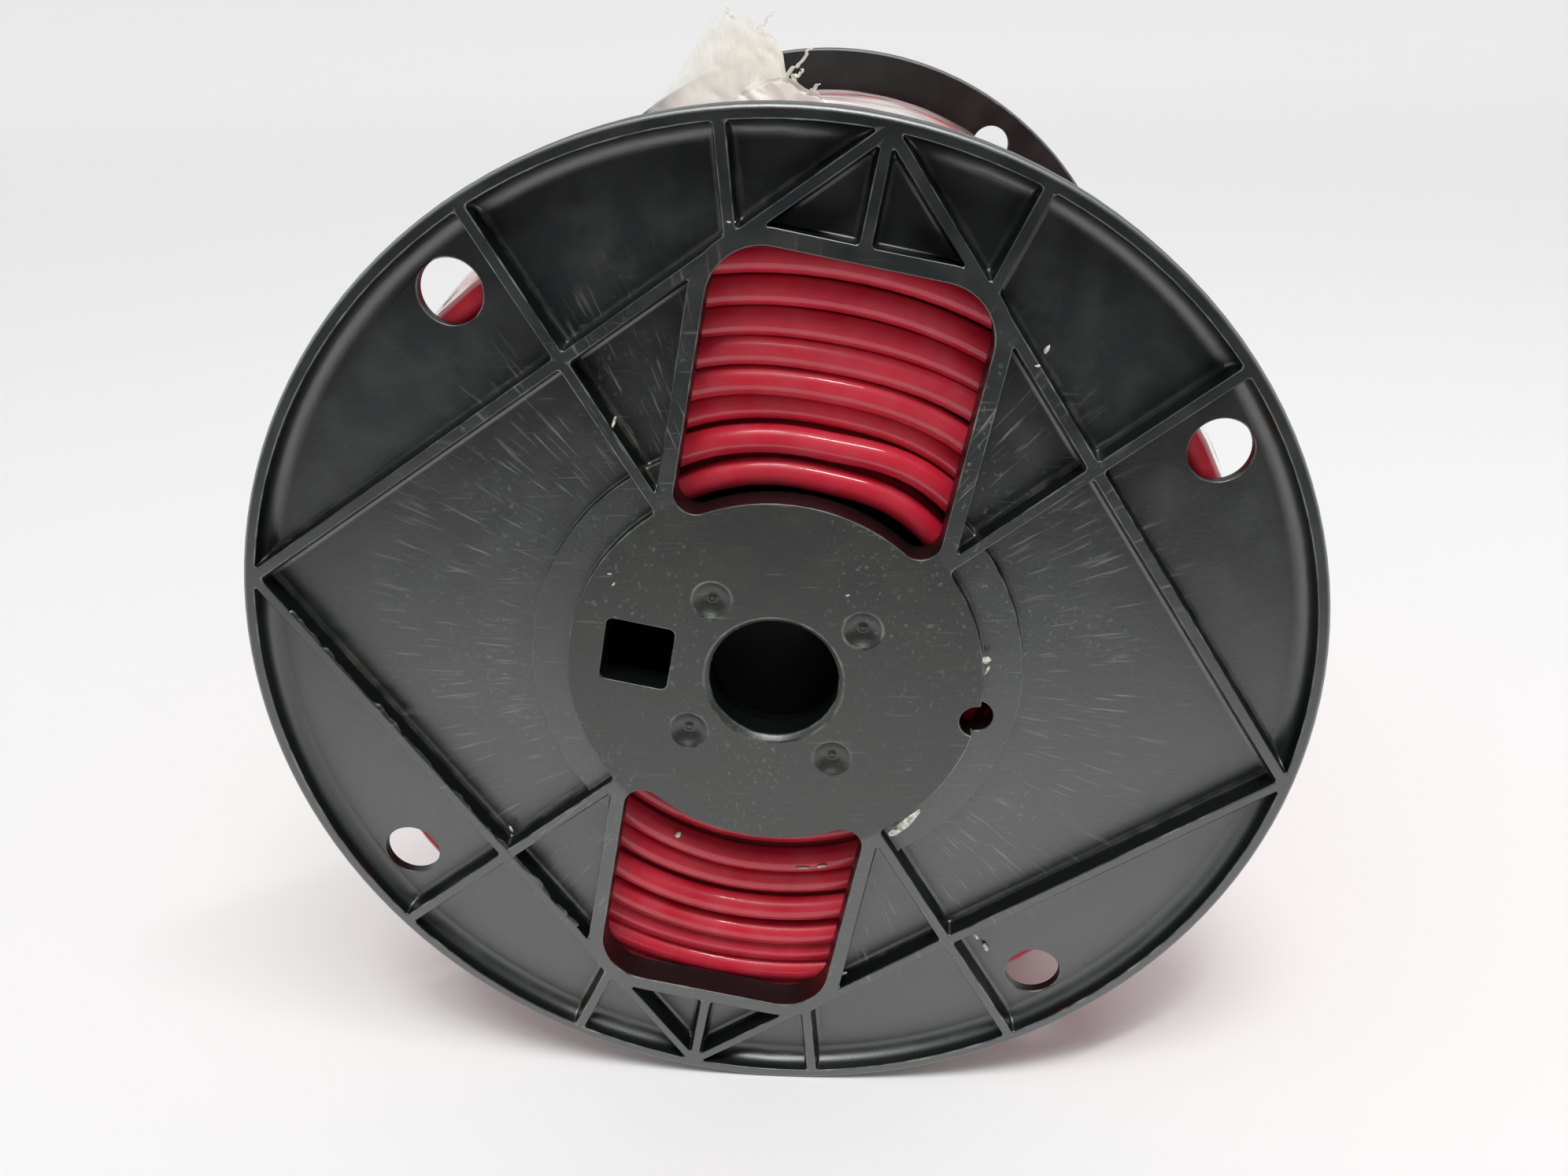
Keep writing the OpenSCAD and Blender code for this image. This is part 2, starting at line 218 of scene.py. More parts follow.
    # rubbed edges in long patches, broken up every few millimetres, dust along the feet of the ribs, and
    # a rim that is worn pale at its corner and a little on its tread
    edge = add(tree, "ShaderNodeAttribute", attribute_name="rubbed_edge").outputs["Fac"]
    rub = add(tree, "ShaderNodeTexNoise", {"Vector": place, "Scale": 0.35, "Detail": 4.0}).outputs["Fac"]
    rub = add(tree, "ShaderNodeMapRange", {0: rub, 1: 0.40, 2: 0.70}).outputs[0]
    patches = add(tree, "ShaderNodeTexNoise", {"Vector": place, "Scale": 0.045, "Detail": 2.0}).outputs["Fac"]
    patches = add(tree, "ShaderNodeMapRange", {0: patches, 1: 0.40, 2: 0.62, 3: 0.12}).outputs[0]
    rub = add(tree, "ShaderNodeMath", {0: rub, 1: patches}, operation="MULTIPLY").outputs[0]
    rubbed = add(tree, "ShaderNodeMath", {0: edge, 1: rub}, operation="MULTIPLY", use_clamp=True).outputs[0]
    corner = add(tree, "ShaderNodeAttribute", attribute_name="dusty_corner").outputs["Fac"]
    dusty = add(tree, "ShaderNodeMath", {0: corner, 1: rub}, operation="MULTIPLY").outputs[0]
    dusty = add(tree, "ShaderNodeMath", {0: dusty, 1: 0.5}, operation="MULTIPLY").outputs[0]
    rolled = add(tree, "ShaderNodeMapRange", {0: radius, 1: FLANGE_R - 0.65, 2: FLANGE_R - 0.15}).outputs[0]
    tread = add(tree, "ShaderNodeMapRange", {0: flat_on, 3: 0.12, 4: 0.5}).outputs[0]
    rolled = add(tree, "ShaderNodeMath", {0: rolled, 1: tread}, operation="MULTIPLY").outputs[0]

    # a thin greenish haze of dust that is patchy over a few millimetres
    haze = add(tree, "ShaderNodeTexNoise", {"Vector": place, "Scale": 0.16, "Detail": 6.0}).outputs["Fac"]
    haze = add(tree, "ShaderNodeMapRange", {0: haze, 1: 0.44, 2: 0.76, 4: 0.42}).outputs[0]
    haze = add(tree, "ShaderNodeMath", {0: haze, 1: flat_on}, operation="MULTIPLY").outputs[0]

    # blue-black, walls darker by painted shade, paler on the hub, under the haze, the marks and the dust
    tint = add(tree, "ShaderNodeValToRGB", {0: clouds},
               stops=[(0.35, paint("#101215")), (0.65, paint("#15181b"))]).outputs[0]
    # painted shade: the walls of ribs, pockets and windows get a darker colour than the faces
    tint = add(tree, "ShaderNodeMix", {0: flat_on, 6: paint("#090b0b"), 7: tint}, data_type="RGBA").outputs[2]
    hub = add(tree, "ShaderNodeMapRange", {0: radius, 1: HUB_R + 0.5, 2: HUB_R - 0.3}).outputs[0]
    hub = add(tree, "ShaderNodeMath", {0: hub, 1: flat_on}, operation="MULTIPLY").outputs[0]
    tint = add(tree, "ShaderNodeMix", {0: hub, 6: tint, 7: paint("#262926")}, data_type="RGBA").outputs[2]
    tint = add(tree, "ShaderNodeMix", {0: haze, 6: tint, 7: paint("#33362f")}, data_type="RGBA").outputs[2]
    tint = add(tree, "ShaderNodeMix", {0: marks, 6: tint, 7: paint("#83867f")}, data_type="RGBA").outputs[2]
    tint = add(tree, "ShaderNodeMix", {0: rubbed, 6: tint, 7: paint("#7b7f7a")}, data_type="RGBA").outputs[2]
    tint = add(tree, "ShaderNodeMix", {0: rolled, 6: tint, 7: paint("#8f9692")}, data_type="RGBA").outputs[2]
    tint = add(tree, "ShaderNodeMix", {0: dusty, 6: tint, 7: paint("#5c5d4c")}, data_type="RGBA").outputs[2]

    skin = add(tree, "ShaderNodeTexNoise", {"Vector": place, "Scale": 2.2, "Detail": 3.0}).outputs["Fac"]
    rough = add(tree, "ShaderNodeMapRange", {0: skin, 3: 0.34, 4: 0.44}).outputs[0]
    rough = add(tree, "ShaderNodeMath", {0: haze, 1: 0.16, 2: rough}, operation="MULTIPLY_ADD").outputs[0]
    rough = add(tree, "ShaderNodeMath", {0: marks, 1: 0.2, 2: rough}, operation="MULTIPLY_ADD").outputs[0]

    # the hub, which rubs on the rack, has lost part of its gloss; walls and the wound side never had it
    gloss = add(tree, "ShaderNodeMapRange", {0: hub, 3: 1.0, 4: 0.58}).outputs[0]
    level = add(tree, "ShaderNodeMapRange", {0: flat_on, 3: 0.25, 4: 1.0}).outputs[0]
    outward = add(tree, "ShaderNodeMath", {0: apart.outputs["Y"]}, operation="ABSOLUTE").outputs[0]
    outer = add(tree, "ShaderNodeMapRange",
                {0: outward, 1: INNER_FACE + 0.1, 2: INNER_FACE + 0.6, 3: 0.4}).outputs[0]
    gloss = add(tree, "ShaderNodeMath", {0: gloss, 1: level}, operation="MULTIPLY").outputs[0]
    gloss = add(tree, "ShaderNodeMath", {0: gloss, 1: outer}, operation="MULTIPLY").outputs[0]
    relief = add(tree, "ShaderNodeMath", {0: marks, 1: 0.6, 2: skin}, operation="MULTIPLY_ADD").outputs[0]
    bump = add(tree, "ShaderNodeBump", {"Height": relief, "Strength": 0.12, "Distance": 0.00015}).outputs[0]
    shader = add(tree, "ShaderNodeBsdfPrincipled", {
        "Base Color": tint, "Roughness": rough, "Normal": bump, "IOR": 1.8, "Specular IOR Level": gloss})
    add(tree, "ShaderNodeOutputMaterial", {0: shader.outputs[0]})
    return material


def insulated_wire():
    """Copper wire in red PVC under a clear nylon jacket, extruded: wet-looking gloss over a deep red, with a
    thin pale pink haze mixed in by patches."""
    material, tree = new_material("extruded_red_insulation")
    place = in_millimetres(tree)
    tone = add(tree, "ShaderNodeTexNoise", {"Vector": place, "Scale": 0.08, "Detail": 3.0}).outputs["Fac"]
    red = add(tree, "ShaderNodeValToRGB", {0: tone},
              stops=[(0.3, paint("#b9102b")), (0.7, paint("#cc1934"))]).outputs[0]
    # a pale pink tint mixed over the red in patches, from 2 to 12 per cent
    haze = add(tree, "ShaderNodeTexNoise", {"Vector": place, "Scale": 0.22, "Detail": 3.0}).outputs["Fac"]
    haze = add(tree, "ShaderNodeMapRange", {0: haze, 1: 0.35, 2: 0.75, 3: 0.02, 4: 0.12}).outputs[0]
    red = add(tree, "ShaderNodeMix", {0: haze, 6: red, 7: paint("#cf8f95")}, data_type="RGBA").outputs[2]
    rough = add(tree, "ShaderNodeMapRange", {0: tone, 3: 0.36, 4: 0.46}).outputs[0]
    uneven = add(tree, "ShaderNodeTexNoise", {"Vector": place, "Scale": 0.35, "Detail": 1.0}).outputs["Fac"]
    bump = add(tree, "ShaderNodeBump", {"Height": uneven, "Strength": 0.12, "Distance": 0.0004}).outputs[0]
    shader = add(tree, "ShaderNodeBsdfPrincipled", {
        "Base Color": red, "Roughness": rough, "Normal": bump, "IOR": 1.53, "Specular IOR Level": 0.28,
        "Coat Weight": 0.9, "Coat Roughness": 0.05, "Coat IOR": 1.5})
    add(tree, "ShaderNodeOutputMaterial", {0: shader.outputs[0]})
    return material


def wrapped_film():
    """Polyethylene stretch film, blown and wound on tight: clear over the wire, with faint milky streaks
    round it. They are made whiter towards the top, a painted reflection of the bright sky on its upper side,
    but not on the right."""
    material, tree = new_material("clear_stretch_film")
    place = in_millimetres(tree)
    apart = add(tree, "ShaderNodeSeparateXYZ", {0: place})
    across, along = apart.outputs["X"], apart.outputs["Y"]
    run = add(tree, "ShaderNodeMapping", {"Vector": place, "Scale": (0.022, 0.08, 0.022)}).outputs[0]
    folds = add(tree, "ShaderNodeTexNoise",
                {"Vector": run, "Scale": 1.0, "Detail": 3.0, "Distortion": 1.0}).outputs["Fac"]
    fine = add(tree, "ShaderNodeTexNoise", {"Vector": run, "Scale": 3.0, "Detail": 1.0}).outputs["Fac"]
    layers = add(tree, "ShaderNodeMapRange", {0: along, 1: -79.0, 2: -60.0, 3: 0.15, 4: 1.0}).outputs[0]
    streaks = add(tree, "ShaderNodeMath", {0: fine, 1: 0.35, 2: folds}, operation="MULTIPLY_ADD").outputs[0]
    milky = add(tree, "ShaderNodeMapRange", {0: streaks, 1: 0.56, 2: 0.84, 3: 0.06, 4: 0.9}).outputs[0]
    alpha = add(tree, "ShaderNodeMath", {0: milky, 1: layers}, operation="MULTIPLY").outputs[0]
    # painted reflection: the film turns more opaque white towards the top, where it mirrors the bright sky
    by_height = add(tree, "ShaderNodeMapRange",
                   {0: apart.outputs["Z"], 1: 50.0, 2: 68.0, 3: 0.5, 4: 1.35}).outputs[0]
    alpha = add(tree, "ShaderNodeMath", {0: alpha, 1: by_height}, operation="MULTIPLY").outputs[0]
    rearmost = add(tree, "ShaderNodeMapRange", {0: along, 1: 62.0, 2: 78.0, 3: 1.0, 4: 0.6}).outputs[0]
    alpha = add(tree, "ShaderNodeMath", {0: alpha, 1: rearmost}, operation="MULTIPLY").outputs[0]
    right = add(tree, "ShaderNodeMapRange", {0: across, 1: 18.0, 2: 32.0, 3: 1.0, 4: 0.2}).outputs[0]
    alpha = add(tree, "ShaderNodeMath", {0: alpha, 1: right}, operation="MULTIPLY").outputs[0]
    both = add(tree, "ShaderNodeMath", {0: fine, 1: 0.4, 2: folds}, operation="MULTIPLY_ADD").outputs[0]
    bump = add(tree, "ShaderNodeBump", {"Height": both, "Strength": 0.5, "Distance": 0.002}).outputs[0]
    rough = add(tree, "ShaderNodeMapRange", {0: fine, 3: 0.12, 4: 0.3}).outputs[0]
    shader = add(tree, "ShaderNodeBsdfPrincipled", {
        "Base Color": paint("#fbf3f0"), "Roughness": rough, "Normal": bump, "Alpha": alpha, "IOR": 1.5,
        "Specular IOR Level": 0.35})
    add(tree, "ShaderNodeOutputMaterial", {0: shader.outputs[0]})
    return material


def bunched_film():
    """The same film torn off and bunched up: white where many layers lie over each other at its foot,
    creamier above, and nearly clear in the few layers at its top and left side."""
    material, tree = new_material("bunched_stretch_film")
    place = in_millimetres(tree)
    apart = add(tree, "ShaderNodeSeparateXYZ", {0: place})
    across, up = apart.outputs["X"], apart.outputs["Z"]
    run = add(tree, "ShaderNodeMapping", {"Vector": place, "Scale": (0.26, 0.2, 0.07)}).outputs[0]
    folds = add(tree, "ShaderNodeTexNoise",
                {"Vector": run, "Scale": 1.0, "Detail": 4.0, "Distortion": 0.7}).outputs["Fac"]
    layers = add(tree, "ShaderNodeMapRange", {0: across, 1: -27.0, 2: -14.0, 3: 0.04, 4: 0.24}).outputs[0]
    thick = add(tree, "ShaderNodeMapRange", {0: folds, 1: 0.35, 2: 0.65, 3: 0.4, 4: 1.6}).outputs[0]
    alpha = add(tree, "ShaderNodeMath", {0: layers, 1: thick}, operation="MULTIPLY").outputs[0]
    height = add(tree, "ShaderNodeMath", {0: across, 1: -0.4, 2: up}, operation="MULTIPLY_ADD").outputs[0]
    by_height = add(tree, "ShaderNodeMapRange", {0: height, 1: 87.0, 2: 81.0, 4: 0.45}).outputs[0]
    foot = add(tree, "ShaderNodeMapRange", {0: across, 1: -31.0, 2: -18.0, 3: 0.08}).outputs[0]
    alpha = add(tree, "ShaderNodeMath", {0: by_height, 1: foot, 2: alpha}, operation="MULTIPLY_ADD").outputs[0]
    cream = add(tree, "ShaderNodeMapRange", {0: up, 1: 72.0, 2: 79.0}).outputs[0]
    tint = add(tree, "ShaderNodeMix", {0: cream, 6: paint("#fffbf7"), 7: paint("#fffdf3")},
               data_type="RGBA").outputs[2]
    bump = add(tree, "ShaderNodeBump", {"Height": folds, "Strength": 0.35, "Distance": 0.001}).outputs[0]
    shader = add(tree, "ShaderNodeBsdfPrincipled", {
        "Base Color": tint, "Roughness": 0.42, "Normal": bump, "Alpha": alpha, "IOR": 1.5,
        "Specular IOR Level": 0.35})
    add(tree, "ShaderNodeOutputMaterial", {0: shader.outputs[0]})
    return material


def chalky_crumbs():
    """Crumbs of plaster and shavings of plastic caught on the flange: matt, off-white and mottled."""
    material, tree = new_material("chalky_crumbs")
    place = in_millimetres(tree)
    mottle = add(tree, "ShaderNodeTexNoise", {"Vector": place, "Scale": 1.4, "Detail": 4.0}).outputs["Fac"]
    tint = add(tree, "ShaderNodeValToRGB", {0: mottle},
               stops=[(0.35, paint("#8f8d7c")), (0.6, paint("#dddcd0"))]).outputs[0]
    bump = add(tree, "ShaderNodeBump", {"Height": mottle, "Strength": 0.5, "Distance": 0.0003}).outputs[0]
    shader = add(tree, "ShaderNodeBsdfPrincipled", {
        "Base Color": tint, "Roughness": 0.85, "Normal": bump, "Specular IOR Level": 0.3})
    add(tree, "ShaderNodeOutputMaterial", {0: shader.outputs[0]})
    return material


def white_paper():
    """Seamless white paper for the floor and the sweep behind: matt and even."""
    material, tree = new_material("white_paper")
    shader = add(tree, "ShaderNodeBsdfPrincipled", {
        "Base Color": paint("#f1f1f1"), "Roughness": 0.8, "Specular IOR Level": 0.2})
    add(tree, "ShaderNodeOutputMaterial", {0: shader.outputs[0]})
    return material


# ---------- flanges ----------

def broken_edges(node, name, material):
    """A copy of a moulding with its triangles merged and its edges rounded, as they come out of a mould.
    Faces on outer edges are marked for wear and those in inner corners for dust."""
    bm = bmesh.new()
    bm.from_mesh(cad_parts[node].data)
    bmesh.ops.remove_doubles(bm, verts=bm.verts[:], dist=0.02 * MM)
    bmesh.ops.dissolve_limit(bm, angle_limit=math.radians(0.5), verts=bm.verts[:], edges=bm.edges[:])
    for key, low, high, round_by in (("rubbed_edge", 25, 180, 0.22), ("dusty_corner", -180, -25, 0.4)):
        layer = bm.faces.layers.float.get(key) or bm.faces.layers.float.new(key)
        chosen = [e for e in bm.edges if e.is_manifold
                  and math.radians(low) < e.calc_face_angle_signed(0) < math.radians(high)
                  and e.calc_length() > 0.05 * MM]
        made = bmesh.ops.bevel(bm, geom=chosen, offset=round_by * MM, offset_type="OFFSET", segments=2,
                               profile=0.5, affect="EDGES", material=-1, clamp_overlap=False)
        for face in made["faces"]:
            face[layer] = 1.0
            u, v = in_pattern(face.calc_center_median())
            # the hub's edge is rubbed through beside the start hole
            if key == "rubbed_edge" and u > 0 and abs(math.hypot(u, v) - HUB_R) < 1 and -24 < v < 13:
                face[layer] = 3.0
    piece = piece_from(bm, name, material)
    piece.modifiers.new("even_shading", "WEIGHTED_NORMAL").keep_sharp = True
    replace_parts(piece, node)


def plain_barrel(material):
    """The barrel lies hidden under the wire, so it stays the plain tube that it is."""
    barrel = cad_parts["barrel"]
    barrel.data.materials.clear()
    barrel.data.materials.append(material)


def trimmed_flash(material):
    """Ragged flash that the trimming knife left along the upper side of the lower left rib."""
    bm = bmesh.new()
    # where along the rib it begins and ends, from the diamond's left corner
    first, last = 7.0, 76.0
    grid = bmesh.ops.create_grid(bm, x_segments=4, y_segments=240, size=1.0)["verts"]
    for vert in grid:
        share, at = (vert.co.x + 1) / 2, first + (last - first) * (vert.co.y + 1) / 2
        ragged = 0.45 + 0.9 * wave(at, 0, 0, 21, 6) + 0.7 * wave(at, 0, 0, 22, 2.2)
        ragged += 0.3 * wave(at, 0, 0, 23, 0.9)
        off = 0.55 + share * max(0.12, min(1.5, ragged))
        droop = 0.2 + share * share * (0.5 + 0.5 * wave(at, 3, 0, 24, 3))
        line_u, line_v = -DIAMOND_R + at / math.sqrt(2), -at / math.sqrt(2)
        vert.co = on_front(line_u + off / math.sqrt(2), line_v + off / math.sqrt(2), FLANGE_T + 0.12 - droop)
    piece = piece_from(bm, "trimmed_flash", material)
    wall = piece.modifiers.new("wall", "SOLIDIFY")
    wall.thickness = 0.16 * MM


def caught_crumbs(material):
    """Pale crumbs caught on the front flange and between the wires in its lower window."""
    # each crumb: place along and up the pattern, height, length, width, turn in degrees, seed
    crumbs = [
        (24.9, -19.9, 4.9, 5.6, 1.3, 62, 1), (23.4, -22.6, 4.7, 1.8, 1.0, 40, 2),
        (29.6, 10.3, 4.9, 1.5, 1.0, 20, 3), (30.2, 8.6, 4.6, 1.6, 0.4, 80, 4),
        (-6.6, 21.7, 5.1, 0.8, 0.25, 50, 5), (-5.9, 21.0, 5.1, 0.7, 0.2, -40, 6),
        (-26.2, 12.1, 5.15, 0.9, 0.35, 10, 7), (-25.4, 10.6, 5.15, 0.7, 0.3, 70, 8),
        (7.8, 16.2, 5.15, 0.7, 0.35, 30, 9), (25.6, 55.9, 5.1, 1.1, 0.6, 75, 10),
        (25.0, 53.6, 5.1, 0.8, 0.5, 10, 11), (-28.4, 34.6, 5.1, 1.7, 0.4, 80, 12),
        (-17.4, 63.4, 5.0, 1.5, 0.6, 15, 13), (-10.0, -35.2, -0.9, 1.2, 0.9, 60, 14),
        (14.2, -35.4, -0.3, 1.6, 0.5, 25, 15), (11.2, -36.6, -0.4, 2.2, 0.35, 10, 16),
        (41.0, -39.6, 4.6, 1.5, 0.5, -45, 17), (43.6, -43.2, 2.2, 1.8, 0.7, -50, 18),
        (22.0, -54.3, 2.6, 1.3, 0.7, 30, 19), (-36.6, -37.4, 3.2, 1.2, 0.5, -60, 20),
    ]
    bm = bmesh.new()
    for u, v, height, long, wide, turn, seed in crumbs:
        made = bmesh.ops.create_icosphere(bm, subdivisions=3, radius=0.5)["verts"]
        side = math.radians(turn)
        for vert in made:
            lump = 1 + 0.5 * wave(vert.co.x, vert.co.y, vert.co.z, seed, 0.35)
            a, b, c = vert.co.x * long * lump, vert.co.y * wide * lump, vert.co.z * wide * 0.6 * lump
            vert.co = on_front(u + a * math.cos(side) - b * math.sin(side),
                               v + a * math.sin(side) + b * math.cos(side), height + c)
    bmesh.ops.recalc_face_normals(bm, faces=bm.faces[:])
    piece = piece_from(bm, "caught_crumbs", material)


# ---------- wire ----------

def append_to(bm, part):
    """Adds one bmesh to another and frees it."""
    mesh = bpy.data.meshes.new("part")
    part.to_mesh(mesh)
    part.free()
    bm.from_mesh(mesh)
    bpy.data.meshes.remove(mesh)


def winding(bm, radius, turns, place, rings=96, sides=12):
    """Spins one turn of a round section about the bore, repeats it, and sets each ring where it was laid.
    place(angle, turn) gives how far out and how far along the ring goes, in millimetres."""
    one = bmesh.new()
    bmesh.ops.create_circle(
        one, segments=sides, radius=WIRE_D / 2 * MM,
        matrix=Matrix.Translation((0, 0, radius * MM)) @ Matrix.Rotation(math.pi / 2, 4, "Y"))
    bmesh.ops.rotate(one, verts=one.verts, matrix=Matrix.Rotation(math.radians(TURN_START), 3, "Y"))
    # not merged, as the two ends of a turn part where it steps along to the next one
    bmesh.ops.spin(one, geom=one.edges[:], axis=AXIS, cent=(0, 0, 0), angle=2 * math.pi, steps=rings)
    wire = bmesh.new()
    for turn in range(turns):
        append_to(wire, one.copy())
    one.free()
    wire.verts.ensure_lookup_table()
    for turn in range(turns):
        for step in range(rings + 1):
            share = turn + step / rings
            angle = math.radians(TURN_START + 360 * share)
            out, along = place(angle, share)
            shift = Vector((math.sin(angle) * out, along, math.cos(angle) * out)) * MM
            ring = (turn * (rings + 1) + step) * sides
            for k in range(ring, ring + sides):
                wire.verts[k].co += shift
    bmesh.ops.remove_doubles(wire, verts=wire.verts[:], dist=0.002 * MM)
    append_to(bm, wire)


def stepped(turn):
    """How many turns along the wire has moved: flat beside the flange, then one quick step."""
    whole = math.floor(turn)
    return whole + ease((turn - whole - STEP_SHARE) / (1 - STEP_SHARE))


def closed_piece(bm, name, material):
    """Caps the ends of the wires, turns the faces outwards and makes the piece."""
    bmesh.ops.holes_fill(bm, edges=[e for e in bm.edges if e.is_boundary])
    bmesh.ops.recalc_face_normals(bm, faces=bm.faces[:])
    piece = piece_from(bm, name, material)
    return piece


# Rows at the front flange from the barrel's first row outwards. How far out each lies, and how far it
# sits behind the flange, at the left, middle and right of the upper window and in the lower window.
FRONT_ROWS = [
    ((30.4, 30.0, 31.0, 29.8), (0.3, 0.0, 0.2, 4.2)),
    ((35.5, 34.9, 36.6, 34.2), (0.0, 0.0, 0.2, 3.1)),
    ((40.0, 39.2, 40.5, 38.1), (1.6, 2.2, 2.0, 0.4)),
    ((44.1, 43.1, 44.3, 42.9), (0.1, 0.0, 0.1, 1.2)),
    ((48.3, 47.2, 48.8, 47.9), (0.0, 0.1, 0.0, 0.0)),
    ((52.0, 51.2, 52.5, 53.3), (0.6, 0.5, 0.6, 0.2)),
    ((56.1, 55.4, 56.4, 57.5), (0.8, 0.8, 0.6, 1.0)),
    ((60.3, 59.8, 60.8, 61.5), (0.6, 0.7, 0.8, 0.6)),
    ((64.2, 63.9, 64.6, 64.8), (0.9, 0.9, 0.8, 1.4)),
]
ROW_ANGLES = (345, 372, 400, 545)


def row_value(angle, values):
    """A row's value at an angle in degrees, smooth between the places where it is given."""
    turn = (angle - ROW_ANGLES[0]) % 360 + ROW_ANGLES[0]
    stops = list(ROW_ANGLES) + [ROW_ANGLES[0] + 360]
    around = list(values) + [values[0]]
    for i in range(len(values)):
        if turn <= stops[i + 1]:
            share = ease((turn - stops[i]) / (stops[i + 1] - stops[i]))
            return around[i] + (around[i + 1] - around[i]) * share
    return around[-1]


def front_rows(material):
    """The rows that show in the windows of the front flange, as unevenly as they were wound."""
    bm = bmesh.new()
    for n, (outs, backs) in enumerate(FRONT_ROWS):
        def place(angle, turn, n=n, outs=outs, backs=backs):
            degrees = math.degrees(angle)
            out = row_value(degrees, outs) - outs[1]
            back = row_value(degrees, backs)
            out += 0.14 * wave(math.sin(angle) * 50, n * 9, math.cos(angle) * 50, 1, 14)
            return out, back + TURN_ALONG * stepped(turn) - INNER_FACE + WIRE_D / 2 + LAY_GAP
        winding(bm, outs[1], END_TURNS, place, sides=14)
    closed_piece(bm, "wire_front_rows", material)


def rear_rows(material):
    """The rows that show in the windows of the rear flange, one to each layer under the outer one."""
    bm = bmesh.new()
    for n in range(LAYERS_UNDER):
        radius = OUTER_LAYER_R - LAYER_UP * (n + 1)

        def place(angle, turn, n=n):
            out = 0.5 * wave(math.sin(angle) * 30, n * 11, math.cos(angle) * 30, 2, 22)
            back = 0.7 + 0.7 * wave(math.sin(angle) * 40, n * 13, math.cos(angle) * 40, 3, 26)
            first = TURN_ALONG * (1 - min(1, stepped(turn)))
            return out, INNER_FACE - WIRE_D / 2 - LAY_GAP - back - first
        winding(bm, radius, END_TURNS, place)
    closed_piece(bm, "wire_rear_rows", material)


def outer_layer(material):
    """The outer layer, turn against turn from flange to flange."""
    bm = bmesh.new()
    reach = INNER_FACE - WIRE_D / 2 - 2 * LAY_GAP
    pitch = 2 * reach / (OUTER_TURNS - 1)

    def place(angle, turn):
        out = 0.1 * wave(math.sin(angle) * 67, turn * 2.2, math.cos(angle) * 67, 4, 15)
        return out, -reach + pitch * min(stepped(turn), OUTER_TURNS - 1)
    winding(bm, OUTER_LAYER_R, OUTER_TURNS, place, rings=72, sides=10)
    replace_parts(closed_piece(bm, "wire_outer_layer", material), "wire_turns")


def packed_layers(material):
    """The layers between the two ends: one ridged body, as the turns bed into each other."""
    bm = bmesh.new()
    # it stops short of the two turns of each row at the flanges, and dips between the turns over it
    half = INNER_FACE - 2.4 * TURN_ALONG
    inner, outer = BARREL_R + 0.2, OUTER_LAYER_R - WIRE_D / 2 - 0.4
    corners = [(-half, inner), (half, inner), (half, outer), (-half, outer)]
    ring = [bm.verts.new((0, y * MM, r * MM)) for y, r in corners]
    edges = [bm.edges.new((ring[i], ring[(i + 1) % 4])) for i in range(4)]
    bmesh.ops.subdivide_edges(bm, edges=[edges[2]], cuts=71)
    bm.verts.ensure_lookup_table()
    for vert in bm.verts:
        if vert.co.z > (outer - 0.1) * MM:
            vert.co.z -= 0.5 * MM * (1 + math.cos(vert.co.y / MM / TURN_ALONG * 2 * math.pi))
    bmesh.ops.spin(bm, geom=bm.edges[:], axis=AXIS, cent=(0, 0, 0), angle=2 * math.pi, steps=72,
                   use_merge=True)
    bmesh.ops.remove_doubles(bm, verts=bm.verts[:], dist=0.005 * MM)
    bmesh.ops.recalc_face_normals(bm, faces=bm.faces[:])
    piece = piece_from(bm, "wire_packed_layers", material)
    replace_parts(piece, "wire_core")


# ---------- film ----------

def film_sleeve(material):
    """The wrapped film: a sleeve that follows the turns under it, with folds round it and torn ends."""
    bm = bmesh.new()
    front, rear = -INNER_FACE + FILM_FRONT, INNER_FACE - FILM_REAR
    ends = [bm.verts.new((0, y * MM, FILM_R * MM)) for y in (front, rear)]
    edge = bm.edges.new(ends)
    bmesh.ops.subdivide_edges(bm, edges=[edge], cuts=219)
    bmesh.ops.spin(bm, geom=bm.edges[:], axis=AXIS, cent=(0, 0, 0), angle=2 * math.pi, steps=190,
                   use_merge=True)
    bmesh.ops.remove_doubles(bm, verts=bm.verts[:], dist=0.005 * MM)
    for vert in bm.verts:
        x, y, z = vert.co / MM
        away = Vector((x, 0, z)).normalized()
        # how far it stands off: loose waves, the turns under it, and fuller folds here and there
        lift = 0.45 * wave(x, y * 4, z, 5, 34) + 0.4
        lift += 0.2 * math.cos(y / TURN_ALONG * 2 * math.pi)
        lift += 0.8 * ease(wave(x, y * 1.8 + x * 0.4, z, 7, 26) * 2 - 0.3)
        torn = 2.0 * wave(x, 0, z, 8, 5) + 1.2 * wave(x, 0, z, 9, 1.8)
        near_rear = ease((y - rear + 8) / 8)
        near_front = ease((front + 5 - y) / 5)
        # tight on the wire at its front end and over its rear half
        lift -= (lift + 0.3) * 0.8 * ease((front + 9 - y) / 9)
        lift -= (lift + 0.2) * 0.7 * ease((y - 30) / 20)
        vert.co += away * lift * MM
        vert.co.y += (torn - 0.9) * near_rear * MM - 0.4 * torn * near_front * MM
    bmesh.ops.recalc_face_normals(bm, faces=bm.faces[:])
    piece = piece_from(bm, "film_sleeve", material)
    wall = piece.modifiers.new("wall", "SOLIDIFY")
    wall.thickness = 0.12 * MM
    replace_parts(piece, "film_wrap")


